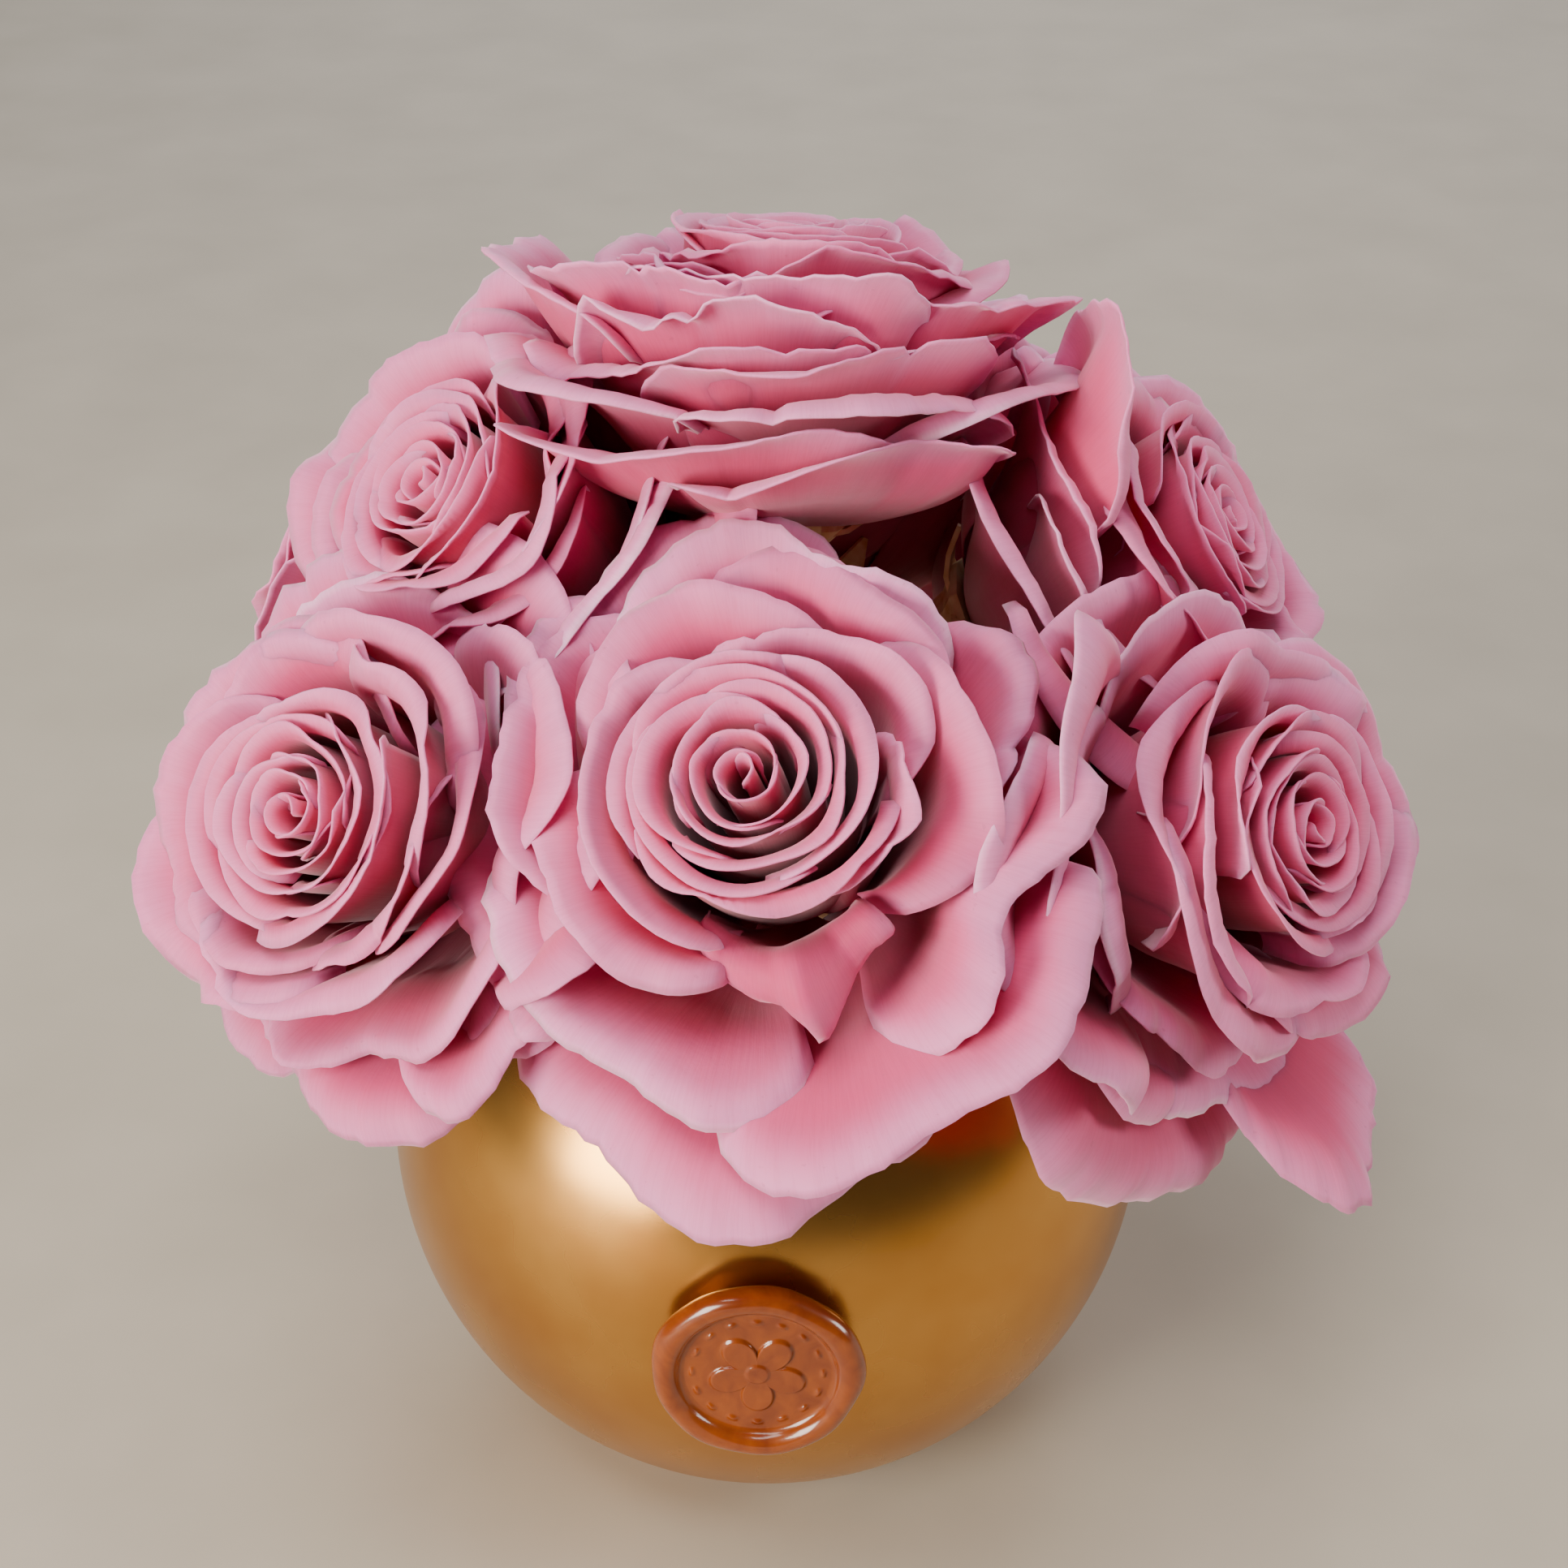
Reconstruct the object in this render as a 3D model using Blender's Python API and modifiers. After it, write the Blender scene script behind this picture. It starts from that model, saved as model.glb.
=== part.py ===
"""A table centrepiece: nine open roses standing in floral foam in a round gold bowl.

Metres, +Z up. The origin is the middle of the bowl's flat base, and -Y is the front, where the
bowl wears its wax seal. Azimuths run from the front towards +X, elevations up from level.
"""

import math
from collections import namedtuple

import bmesh
import bpy
import numpy as np
from mathutils import Vector

OBJECT_NAME = "floral_centerpiece"

# The bowl is a sphere cut flat below and open above.
BOWL_RADIUS = 0.063
BASE_RADIUS = 0.030
MOUTH_RADIUS = 0.040
BOWL_WALL = 0.0022
BOWL_FLOOR = 0.0030
BOWL_CENTRE = math.sqrt(BOWL_RADIUS**2 - BASE_RADIUS**2)
ROUND_STEPS = 32
ARC_STEPS = 8
LIP_STEPS = 4

# The foam fills the bowl and domes up through its mouth.
FOAM_CLEARANCE = 0.0006
FOAM_NECK = 0.035
FOAM_DOME = 0.032
STEM_RADIUS = 0.0020
STEM_CLEARANCE = 0.0003

# The seal is a disc of wax on a sticky pad on the bowl's front.
SEAL_RADIUS = 0.0165
SEAL_FIELD_RADIUS = 0.0118
SEAL_FIELD_HEIGHT = 0.0026
SEAL_RIM_HEIGHT = 0.0046
SEAL_AZIMUTH = -1.5
SEAL_ELEVATION = 1.2
PAD_RADIUS = 0.010
PAD_THICKNESS = 0.0005
SEAL_STEPS = 32
SKIN_GAP = 0.0003

# A rose in its own frame: Z is its axis, and the origin is where the petals join the hip.
HEAD_HEIGHT = 0.045
HIP_HEIGHT = 0.012
HIP_TOP_RADIUS = 0.0108
HIP_STEPS = 10
STEM_LENGTH = 0.025
STEM_SIDES = 8
PETAL_THICKNESS = 0.0005
PETAL_LIFT = 0.0007
SEPALS = 5
SEPAL_THICKNESS = 0.0008

# The heads stand round a point in the bowl's mouth. Each is given by its tip's azimuth, elevation
# and distance from there, by the azimuth and elevation that it faces, by its turn about its own
# axis, and by the length of its stem.
DOME_CENTRE = Vector((0.0, 0.0, 0.110))
Rose = namedtuple("Rose", "tip faces turn stem")
ROSES = {
    "front": Rose((-3, 39, 0.090), (-16, 52), 20, STEM_LENGTH),
    "left_top": Rose((-77, 53, 0.088), (-58, 44), 75, STEM_LENGTH),
    "left": Rose((-51, 25, 0.096), (-42, 34), 140, STEM_LENGTH),
    "crown": Rose((163, 82, 0.101), (170, 72), 10, 0.038),
    "right_top": Rose((92, 38, 0.092), (76, 32), 200, STEM_LENGTH),
    "right": Rose((57, 20, 0.100), (52, 26), 255, STEM_LENGTH),
    "back_left": Rose((-128, 16, 0.093), (-129, 20), 300, STEM_LENGTH),
    "back": Rose((174, 27, 0.093), (176, 30), 95, STEM_LENGTH),
    "back_right": Rose((130, 14, 0.095), (130, 16), 170, STEM_LENGTH),
}

# A whorl is one sheet of petals joined at their feet, wound round the axis from its inner end to
# its outer end, so radii and heights are pairs. Roll is how far the sheet's section turns over,
# and belly how fast it opens: a lower power opens faster.
Whorl = namedtuple("Whorl", "turns petals foot rim height roll belly notch columns rows")
WHORLS = {
    "heart": Whorl(2.1, 8, (0.0016, 0.0049), (0.0026, 0.0150), (0.044, 0.0425), 90, 1.0, 0.03, 21, 4),
    "inner_petals": Whorl(1.2, 5, (0.0061, 0.0074), (0.0200, 0.0242), (0.040, 0.037), 90, 1.1, 0.08, 16, 4),
    "outer_petals": Whorl(1.2, 5, (0.0087, 0.0101), (0.0360, 0.0490), (0.032, 0.028), 135, 0.58, 0.14, 21, 6),
}

# Heads press on each other, so each keeps to its own side of the plane midway to its neighbour.
HEAD_MIDDLE = 0.026
HEAD_REACH = 0.050
HEAD_RISE = 0.027
HEAD_CLEARANCE = 0.0007
SQUEEZE = 6

# Base colour, roughness and metallic value of each finish.
FINISHES = {
    "satin_gold": ((0.64, 0.37, 0.10, 1), 0.32, 1.0),
    "dry_foam": ((0.10, 0.16, 0.07, 1), 0.95, 0.0),
    "amber_wax": ((0.78, 0.24, 0.03, 1), 0.25, 0.0),
    "adhesive_pad": ((0.80, 0.78, 0.72, 1), 0.60, 0.0),
    "rose_petal": ((0.83, 0.35, 0.47, 1), 0.80, 0.0),
    "rose_sepal": ((0.85, 0.66, 0.45, 1), 0.75, 0.0),
    "rose_stem": ((0.36, 0.40, 0.18, 1), 0.70, 0.0),
}


def clear_scene():
    for obj in list(bpy.data.objects):
        bpy.data.objects.remove(obj)


def new_collection(name):
    collection = bpy.data.collections.new(name)
    bpy.context.scene.collection.children.link(collection)
    return collection


def finish(name):
    """The finish's Principled material, made the first time that it is asked for."""
    if name in bpy.data.materials:
        return bpy.data.materials[name]
    colour, roughness, metallic = FINISHES[name]
    material = bpy.data.materials.new(name)
    material.use_nodes = True
    shader = material.node_tree.nodes["Principled BSDF"]
    shader.inputs["Base Color"].default_value = colour
    shader.inputs["Roughness"].default_value = roughness
    shader.inputs["Metallic"].default_value = metallic
    return material


def add_object(name, mesh, collection, finish_name=None, parent=None):
    obj = bpy.data.objects.new(name, mesh)
    collection.objects.link(obj)
    obj.parent = parent
    if finish_name and not mesh.materials:
        mesh.materials.append(finish(finish_name))
    if finish_name:
        mesh.shade_smooth()
    return obj


def add_empty(name, collection, place, facing):
    """A frame at a place, with its Z axis along a direction."""
    empty = bpy.data.objects.new(name, None)
    collection.objects.link(empty)
    empty.location = place
    empty.rotation_euler = facing.to_track_quat("Z", "Y").to_euler()
    return empty


def direction(azimuth, elevation):
    azimuth, elevation = math.radians(azimuth), math.radians(elevation)
    level = math.cos(elevation)
    return Vector((math.sin(azimuth) * level, -math.cos(azimuth) * level, math.sin(elevation)))


def arc(radius, start, end, steps, middle=(0.0, 0.0)):
    """Points of a circle about the middle, by their angle from straight up towards +X."""
    angles = np.radians(np.linspace(start, end, steps + 1))
    return [(middle[0] + radius * math.sin(a), middle[1] + radius * math.cos(a)) for a in angles]


def turned(name, profile, steps, collection, finish_name, parent=None):
    """A solid of revolution: the profile's (radius, height) points run down its outer side."""
    mesh = bpy.data.meshes.new(name)
    points = [(radius, 0.0, height) for radius, height in profile]
    mesh.from_pydata(points, [(i, i + 1) for i in range(len(points) - 1)], [])
    obj = add_object(name, mesh, collection, finish_name, parent)
    screw = obj.modifiers.new("Turn", "SCREW")
    screw.steps = steps
    screw.render_steps = steps
    screw.use_merge_vertices = True
    screw.merge_threshold = 0.00001
    screw.use_smooth_shade = True
    return obj


def add_bowl(collection):
    inside = BOWL_RADIUS - BOWL_WALL
    middle_wall = BOWL_RADIUS - BOWL_WALL / 2
    mouth = math.degrees(math.asin(MOUTH_RADIUS / BOWL_RADIUS))
    base = 180 - math.degrees(math.asin(BASE_RADIUS / BOWL_RADIUS))
    floor = math.degrees(math.acos((BOWL_FLOOR - BOWL_CENTRE) / inside))
    centre = (0.0, BOWL_CENTRE)
    lip_middle = arc(middle_wall, mouth, mouth, 0, centre)[0]
    lip = arc(BOWL_WALL / 2, mouth - 180, mouth, LIP_STEPS, lip_middle)
    profile = [(0.0, BOWL_FLOOR)]
    profile += arc(inside, floor, mouth, ARC_STEPS, centre)
    profile += lip[1:-1]
    profile += arc(BOWL_RADIUS, mouth, base, ARC_STEPS + 2, centre)
    profile += [(0.0, 0.0)]
    return turned("bowl", profile, ROUND_STEPS, collection, "satin_gold")


def add_foam(collection, cutters):
    radius = BOWL_RADIUS - BOWL_WALL - FOAM_CLEARANCE
    bottom = BOWL_FLOOR + FOAM_CLEARANCE
    neck = math.degrees(math.asin(FOAM_NECK / radius))
    shoulder = BOWL_CENTRE + radius * math.cos(math.radians(neck))
    foot = math.degrees(math.acos((bottom - BOWL_CENTRE) / radius))
    dome = [(FOAM_NECK * x, shoulder + FOAM_DOME * z) for x, z in arc(1.0, 0, 90, 6)]
    profile = dome + arc(radius, neck, foot, ARC_STEPS, (0.0, BOWL_CENTRE))[1:] + [(0.0, bottom)]
    foam = turned("foam", profile, ROUND_STEPS, collection, "dry_foam")
    holes = foam.modifiers.new("Stem holes", "BOOLEAN")
    holes.operation = "DIFFERENCE"
    holes.solver = "EXACT"
    holes.operand_type = "COLLECTION"
    holes.collection = cutters
    return foam


def add_seal(collection):
    facing = direction(SEAL_AZIMUTH, SEAL_ELEVATION)
    on_bowl = Vector((0.0, 0.0, BOWL_CENTRE)) + facing * (BOWL_RADIUS + SKIN_GAP)
    pad_frame = add_empty("seal_place", collection, on_bowl, facing)
    behind = BOWL_RADIUS + SKIN_GAP
    edge = math.degrees(math.asin(PAD_RADIUS / behind))
    pad = [(0.0, PAD_THICKNESS), (PAD_RADIUS, PAD_THICKNESS)] + arc(behind, edge, 0, 3, (0.0, -behind))
    turned("seal_pad", pad, SEAL_STEPS, collection, "adhesive_pad", pad_frame)

    rim_radius = (SEAL_RADIUS - SEAL_FIELD_RADIUS) / 2
    rim_middle = (SEAL_FIELD_RADIUS + rim_radius, SEAL_RIM_HEIGHT - rim_radius)
    profile = [(0.0, SEAL_FIELD_HEIGHT), (SEAL_FIELD_RADIUS - 0.0008, SEAL_FIELD_HEIGHT)]
    profile += arc(rim_radius, -75, 100, 7, rim_middle)
    profile += [(SEAL_RADIUS - 0.0010, 0.0), (0.0, 0.0)]
    seal = turned("seal", profile, SEAL_STEPS, collection, "amber_wax", pad_frame)
    seal.location.z = PAD_THICKNESS + SKIN_GAP
    return seal


def grid_mesh(name, columns, rows, shape):
    """A grid of points, each moved to where the shape puts its two parameters, both from 0 to 1."""
    mesh = bpy.data.meshes.new(name)
    cage = bmesh.new()
    bmesh.ops.create_grid(cage, x_segments=columns - 1, y_segments=rows - 1, size=0.5)
    flat = np.array([vertex.co for vertex in cage.verts]) + (0.5, 0.5, 0.0)
    for vertex, point in zip(cage.verts, shape(flat[:, 0], flat[:, 1])):
        vertex.co = point
    cage.to_mesh(mesh)
    cage.free()
    return mesh


def between(pair, share):
    return pair[0] + (pair[1] - pair[0]) * share


def add_thickness(obj, thickness):
    solidify = obj.modifiers.new("Thickness", "SOLIDIFY")
    solidify.thickness = thickness
    solidify.offset = 0.0


def in_cell(points, neighbours):
    """The points drawn in towards the head's middle where a neighbour crowds it.

    Along a way out of the middle, the head would reach the surface of an ellipsoid, and each
    neighbour's plane cuts that reach short. All points on the way shrink by the same share, so
    the petals keep their order.
    """
    offsets = points - np.array((0.0, 0.0, HEAD_MIDDLE))
    length = np.linalg.norm(offsets, axis=1)
    ways = offsets / length[:, None]
    level = np.linalg.norm(ways[:, :2], axis=1)
    free_reach = 1 / np.sqrt((level / HEAD_REACH) ** 2 + (ways[:, 2] / HEAD_RISE) ** 2)
    crowding = np.zeros(len(points))
    for normal, limit in neighbours:
        crowding += (free_reach * np.maximum(ways @ normal, 0) / limit) ** SQUEEZE
    share = (1 + crowding) ** (-1 / SQUEEZE)
    return offsets * share[:, None] + np.array((0.0, 0.0, HEAD_MIDDLE))


def add_whorl(name, whorl, frame, turn, neighbours, collection):
    """One sheet of petals, a cup whose section opens fast at the foot and then climbs.

    Its upper edge dips between neighbouring petals by the whorl's notch.
    """

    def shape(along, up):
        angle = math.radians(turn) + along * whorl.turns * math.tau
        dip = 1 - np.abs(np.sin(along * whorl.petals * math.pi)) ** 0.6
        reach = 1 - whorl.notch * dip * up
        foot = between(whorl.foot, along)
        radius = foot + (between(whorl.rim, along) * reach - foot) * np.sin(up * math.pi / 2) ** whorl.belly
        climb = np.sin(up * math.radians(whorl.roll)) if whorl.roll > 90 else up
        height = PETAL_LIFT + between(whorl.height, along) * reach * climb
        points = np.stack([radius * np.cos(angle), radius * np.sin(angle), height], axis=1)
        return in_cell(points, neighbours)

    mesh = grid_mesh(name, whorl.columns, whorl.rows, shape)
    sheet = add_object(name, mesh, collection, "rose_petal", frame)
    add_thickness(sheet, PETAL_THICKNESS)
    return sheet


def calyx_mesh(collection):
    """The hip with its five sepals, joined into one solid that every rose shares."""
    top, low = HIP_TOP_RADIUS, -HIP_HEIGHT
    profile = [(0.0, 0.0), (top, 0.0), (top, -0.0012), (0.0075, -0.0045), (0.0062, -0.0080)]
    profile += [(0.0036, low), (0.0, low)]
    hip = turned("hip", profile, HIP_STEPS, collection, "rose_sepal")

    def sepal_shape(along, up):
        """A leaf that leaves the hip's edge and climbs under the outer petals."""
        out = HIP_TOP_RADIUS - 0.0030 + 0.0085 * up
        climb = -0.0022 + 0.0060 * up**2
        half_width = 0.0034 * (1 - up) ** 0.6 + 0.0004
        return np.stack([out, (2 * along - 1) * half_width, climb], axis=1)

    for number in range(SEPALS):
        sepal = add_object("sepal", grid_mesh("sepal", 3, 4, sepal_shape), collection)
        sepal.rotation_euler.z = math.tau * (number + 0.5) / SEPALS
        add_thickness(sepal, SEPAL_THICKNESS)
        sepal.hide_render = True
        join = hip.modifiers.new("Sepal", "BOOLEAN")
        join.operation = "UNION"
        join.solver = "EXACT"
        join.object = sepal
    bpy.context.view_layer.update()
    joined = bpy.data.meshes.new_from_object(hip.evaluated_get(bpy.context.evaluated_depsgraph_get()))
    joined.name = "calyx"
    for part in list(collection.objects):
        bpy.data.objects.remove(part)
    return joined


def add_stem(name, frame, length, collection, cutters):
    """A cylinder below the hip, and the hole that it needs in the foam."""
    for is_hole in (False, True):
        spare = STEM_CLEARANCE if is_hole else 0.0
        cage = bmesh.new()
        radius = STEM_RADIUS + spare
        bmesh.ops.create_cone(
            cage, cap_ends=True, segments=STEM_SIDES, radius1=radius, radius2=radius, depth=length + spare
        )
        mesh = bpy.data.meshes.new(name)
        cage.to_mesh(mesh)
        cage.free()
        home = cutters if is_hole else collection
        stem = add_object(name + ("_hole" if is_hole else ""), mesh, home, "rose_stem", frame)
        stem.location.z = -HIP_HEIGHT - SKIN_GAP - (length + spare) / 2
        if is_hole:
            stem.hide_render = True
            stem.display_type = "WIRE"


def neighbour_planes(name, frames):
    """The planes midway to every other head, as directions in this rose's frame and distances."""
    place = frames[name].matrix_world
    middle = place @ Vector((0.0, 0.0, HEAD_MIDDLE))
    planes = []
    for other, frame in frames.items():
        if other == name:
            continue
        way = frame.matrix_world @ Vector((0.0, 0.0, HEAD_MIDDLE)) - middle
        local = place.to_3x3().inverted() @ way.normalized()
        planes.append((np.array(local), way.length / 2 - HEAD_CLEARANCE))
    return planes


def add_roses(collection, cutters, calyx):
    frames = {}
    for name, rose in ROSES.items():
        facing = direction(*rose.faces)
        tip = DOME_CENTRE + direction(*rose.tip[:2]) * rose.tip[2]
        frames[name] = add_empty(f"{name}_rose", collection, tip - facing * HEAD_HEIGHT, facing)
    bpy.context.view_layer.update()
    for name, rose in ROSES.items():
        frame = frames[name]
        planes = neighbour_planes(name, frames)
        for layer, whorl in WHORLS.items():
            add_whorl(f"{name}_rose_{layer}", whorl, frame, rose.turn, planes, collection)
        hip = add_object(f"{name}_rose_calyx", calyx, collection, "rose_sepal", frame)
        hip.rotation_euler.z = math.radians(rose.turn)
        add_stem(f"{name}_rose_stem", frame, rose.stem, collection, cutters)


def main():
    clear_scene()
    parts = new_collection(OBJECT_NAME)
    cutters = new_collection("cutters")
    workshop = new_collection("workshop")
    calyx = calyx_mesh(workshop)
    bpy.data.collections.remove(workshop)
    add_bowl(parts)
    add_foam(parts, cutters)
    add_seal(parts)
    add_roses(parts, cutters, calyx)


main()
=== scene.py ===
# %% [markdown]
# # A rose centrepiece, dressed for the camera
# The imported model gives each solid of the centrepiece: bowl, foam, seal and nine roses whose petals
# are plain cups. This lesson keeps every place and size from it, and makes the petals, the gold and
# the wax that the eye expects.

# %% Load the frame
import math

import bpy
import numpy as np
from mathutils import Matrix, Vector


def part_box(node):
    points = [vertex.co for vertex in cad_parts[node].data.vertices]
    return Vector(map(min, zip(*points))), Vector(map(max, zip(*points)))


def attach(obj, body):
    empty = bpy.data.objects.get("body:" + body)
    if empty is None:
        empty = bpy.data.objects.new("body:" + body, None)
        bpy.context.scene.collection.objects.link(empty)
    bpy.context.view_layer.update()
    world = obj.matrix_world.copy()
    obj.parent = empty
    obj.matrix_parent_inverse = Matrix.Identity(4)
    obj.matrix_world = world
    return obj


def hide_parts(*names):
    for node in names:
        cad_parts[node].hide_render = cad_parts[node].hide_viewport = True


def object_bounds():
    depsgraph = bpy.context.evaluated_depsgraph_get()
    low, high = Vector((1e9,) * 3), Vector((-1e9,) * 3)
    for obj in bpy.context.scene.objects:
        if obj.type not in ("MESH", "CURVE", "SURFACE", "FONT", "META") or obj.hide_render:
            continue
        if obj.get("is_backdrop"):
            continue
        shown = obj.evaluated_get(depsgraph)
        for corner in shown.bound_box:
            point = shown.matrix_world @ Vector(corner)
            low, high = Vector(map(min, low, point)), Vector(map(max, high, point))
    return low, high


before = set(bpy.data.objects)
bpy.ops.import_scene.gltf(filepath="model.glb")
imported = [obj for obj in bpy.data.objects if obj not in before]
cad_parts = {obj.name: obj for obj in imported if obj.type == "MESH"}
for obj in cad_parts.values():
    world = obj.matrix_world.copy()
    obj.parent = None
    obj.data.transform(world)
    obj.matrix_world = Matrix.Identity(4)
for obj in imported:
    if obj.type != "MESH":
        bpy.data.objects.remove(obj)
cad_box = [list(map(float, corner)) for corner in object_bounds()]
MM = 0.001
print("model box in mm:", [[round(value / MM, 1) for value in corner] for corner in cad_box])

# %% [markdown]
# ## The camera
# A table piece is looked down on from a chair's height. The lens is a mild telephoto half a metre
# away, aimed above the bowl's middle, so the front rose meets the eye almost face on.

# %% Camera
FIELD_OF_VIEW = 30.0
CAMERA_DISTANCE = 0.50
CAMERA_ABOVE = 38.5
PITCH_DOWN = 32.26
YAW = -0.40

bowl_low, bowl_high = (np.array(corner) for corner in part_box("bowl"))
BOWL_RADIUS = float(bowl_high[0] - bowl_low[0]) / 2
BASE_RADIUS = 0.030
bowl_middle = np.array((0.0, 0.0, math.sqrt(BOWL_RADIUS**2 - BASE_RADIUS**2)))
elevation = math.radians(CAMERA_ABOVE)
camera_data = bpy.data.cameras.new("camera")
camera_data.angle = math.radians(FIELD_OF_VIEW)
camera = bpy.data.objects.new("camera", camera_data)
bpy.context.scene.collection.objects.link(camera)
way_out = np.array((0, -math.cos(elevation), math.sin(elevation)))
camera.location = bowl_middle + CAMERA_DISTANCE * way_out
camera.rotation_euler = (math.radians(90 - PITCH_DOWN), 0, math.radians(YAW))
bpy.context.scene.camera = camera
print("camera at", [round(value, 3) for value in camera.location])

# %% [markdown]
# ## Light and floor
# The room is bright and soft: a large window ahead on the left, a weaker one on the right, and a
# pale sky all round. Gold shows nothing of its own, only what stands around it, so the two large
# panels are also what draws its highlights. The floor is plain and pale.


# %% Light and floor
def linear(hex_colour):
    """An sRGB hex colour as linear red, green, blue and alpha."""
    values = np.array([int(hex_colour[i:i + 2], 16) for i in (1, 3, 5)]) / 255
    low = values / 12.92
    high = ((values + 0.055) / 1.055) ** 2.4
    return (*np.where(values <= 0.04045, low, high).tolist(), 1.0)


def add_panel(name, place, aim, size, watts, colour):
    """A square soft light at a place, turned to face a point."""
    data = bpy.data.lights.new(name, "AREA")
    data.shape = "SQUARE"
    data.size = size
    data.energy = watts
    data.color = linear(colour)[:3]
    panel = bpy.data.objects.new(name, data)
    bpy.context.scene.collection.objects.link(panel)
    panel.location = place
    away = panel.location - type(panel.location)(aim)
    panel.rotation_euler = away.to_track_quat("Z", "Y").to_euler()


def set_world(colour, strength):
    """One even colour all round."""
    world = bpy.data.worlds.new("sky")
    world.use_nodes = True
    background = world.node_tree.nodes["Background"]
    background.inputs["Color"].default_value = linear(colour)
    background.inputs["Strength"].default_value = strength
    bpy.context.scene.world = world


HEADS = (0.0, 0.0, 0.15)
add_panel("window", (-0.62, -0.62, 0.34), (0.0, 0.0, 0.10), 0.42, 14.0, "#fff4e6")
add_panel("sky_light", (-0.15, -0.30, 1.0), HEADS, 0.6, 9.0, "#fffaf4")
add_panel("far_window", (0.85, -0.12, 0.38), HEADS, 0.32, 4.5, "#fff6ee")
add_panel("back_window", (0.1, 1.0, 0.7), HEADS, 0.8, 8.0, "#f4f6ff")
set_world("#dcd8d6", 0.11)

# %% [markdown]
# ## A mesh from a formula
# Every new piece is a sheet: a function of two parameters on a grid. A petal is such a sheet with
# the thickness of a petal. Faces come from the grid's indices, so no corner is placed by hand. The
# sheet keeps two facts for its colour: where a point lies on its petal, as a UV map, and how deep
# it sits in the flower, as an attribute. That attribute darkens the petal deep in the flower, partly
# as its own deeper colour and partly as painted shade.


# %% Sheets
def grid_faces(columns, rows, first=0):
    """The quads of a grid whose points are stored row by row, the first of them at a given index."""
    corner = np.arange(rows - 1)[:, None] * columns + np.arange(columns - 1)[None, :]
    corner = corner.ravel() + first
    return np.stack([corner, corner + 1, corner + 1 + columns, corner + columns], axis=1)


def smooth_step(value, start, end):
    """0 before the start, 1 after the end, and a soft climb between."""
    share = np.clip((value - start) / (end - start), 0, 1)
    return share * share * (3 - 2 * share)


def mesh_from_sheets(name, sheets, thickness, material):
    """One object from several sheets, each a grid of points with its UVs and its tone.

    Solidify gives every sheet the petal's thickness and closes its edge.
    """
    points, faces, maps, tones, first = [], [], [], [], 0
    for grid, uv, tone_and_shade in sheets:
        rows, columns = grid.shape[:2]
        points.append(grid.reshape(-1, 3))
        faces.append(grid_faces(columns, rows, first))
        maps.append(uv.reshape(-1, 2))
        tones.append(tone_and_shade.reshape(-1))
        first += rows * columns
    points, faces = np.concatenate(points), np.concatenate(faces)
    maps, tones = np.concatenate(maps), np.concatenate(tones)
    mesh = bpy.data.meshes.new(name)
    mesh.vertices.add(len(points))
    mesh.vertices.foreach_set("co", points.ravel())
    mesh.loops.add(faces.size)
    mesh.loops.foreach_set("vertex_index", faces.ravel())
    mesh.polygons.add(len(faces))
    mesh.polygons.foreach_set("loop_start", np.arange(len(faces)) * 4)
    mesh.update(calc_edges=True)
    layer = mesh.uv_layers.new(name="petal_map")
    layer.data.foreach_set("uv", maps[faces.ravel()].ravel())
    # The tone attribute is partly the petals' own colour and partly painted shade: it is lowest at
    # their feet, deep in the flower.
    tone_layer = mesh.attributes.new("tone_and_shade", "FLOAT", "POINT")
    tone_layer.data.foreach_set("value", tones)
    mesh.shade_smooth()
    mesh.materials.append(material)
    piece = bpy.data.objects.new(name, mesh)
    bpy.context.scene.collection.objects.link(piece)
    solidify = piece.modifiers.new("Thickness", "SOLIDIFY")
    solidify.thickness = thickness
    solidify.offset = 0.0
    return piece


print("a grid of 3 by 3 points has", len(grid_faces(3, 3)), "quads")

# %% [markdown]
# ## One helper for materials
# A shader is a graph of nodes. One small function adds a node, sets its values and joins its
# inputs, and every material below is written with it.


# %% Material helper
def new_material(name):
    """An empty material with its Principled shader, and its node tree."""
    material = bpy.data.materials.new(name)
    material.use_nodes = True
    return material, material.node_tree


def add(tree, kind, settings=None, **inputs):
    """A node of a kind. Settings are its own, inputs are values or the sockets they come from.

    An input's name is its socket's name with underscores, or in0, in1 for a socket's number.
    """
    made = tree.nodes.new(kind)
    for key, value in (settings or {}).items():
        setattr(made, key, value)
    for key, value in inputs.items():
        is_number = key.startswith("in") and key[2:].isdigit()
        socket = made.inputs[int(key[2:]) if is_number else key.replace("_", " ")]
        if isinstance(value, bpy.types.NodeSocket):
            tree.links.new(value, socket)
        else:
            socket.default_value = value
    return made


def ramp(tree, factor, stops, interpolation="LINEAR"):
    """A colour ramp from a list of (place, hex colour)."""
    made = add(tree, "ShaderNodeValToRGB", in0=factor)
    made.color_ramp.interpolation = interpolation
    elements = made.color_ramp.elements
    while len(elements) < len(stops):
        elements.new(1.0)
    for element, (place, colour) in zip(elements, stops):
        element.position = place
        element.color = linear(colour)
    return made.outputs[0]


def mix(tree, factor, one, other, blend="MIX"):
    """Two colours mixed, by a factor that is a number or a socket."""
    made = add(tree, "ShaderNodeMix", {"data_type": "RGBA", "blend_type": blend})
    for number, value in ((0, factor), (6, one), (7, other)):
        if isinstance(value, bpy.types.NodeSocket):
            tree.links.new(value, made.inputs[number])
        else:
            made.inputs[number].default_value = value
    return made.outputs[2]


print("sRGB #808080 is", round(linear("#808080")[0], 3), "in linear light")
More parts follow.
